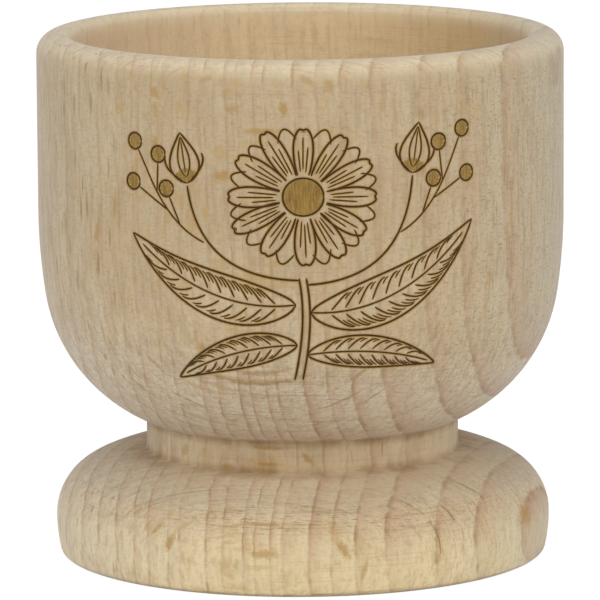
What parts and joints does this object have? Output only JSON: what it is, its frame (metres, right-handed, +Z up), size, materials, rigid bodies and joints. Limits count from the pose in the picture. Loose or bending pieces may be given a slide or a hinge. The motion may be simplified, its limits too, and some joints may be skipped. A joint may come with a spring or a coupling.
{
  "type": "egg cup",
  "caption": "Low turned wooden egg cup, with an upright round bowl on a short grooved neck and a broad rounded foot, in one block.",
  "frame": {"origin": "middle of the flat base, on the surface that the cup stands on", "axes": "+Z up along the lathe axis, -Y towards the engraved front, +X to the right as seen from the front"},
  "size_m": [0.048, 0.048, 0.048],
  "materials": {
    "beech": "bare sanded beech, matt, with fine upright grain, ochre ray flecks and a burnt line engraving on the front"
  },
  "bodies": {
    "root": {"cup": "beech"}
  },
  "joints": []
}
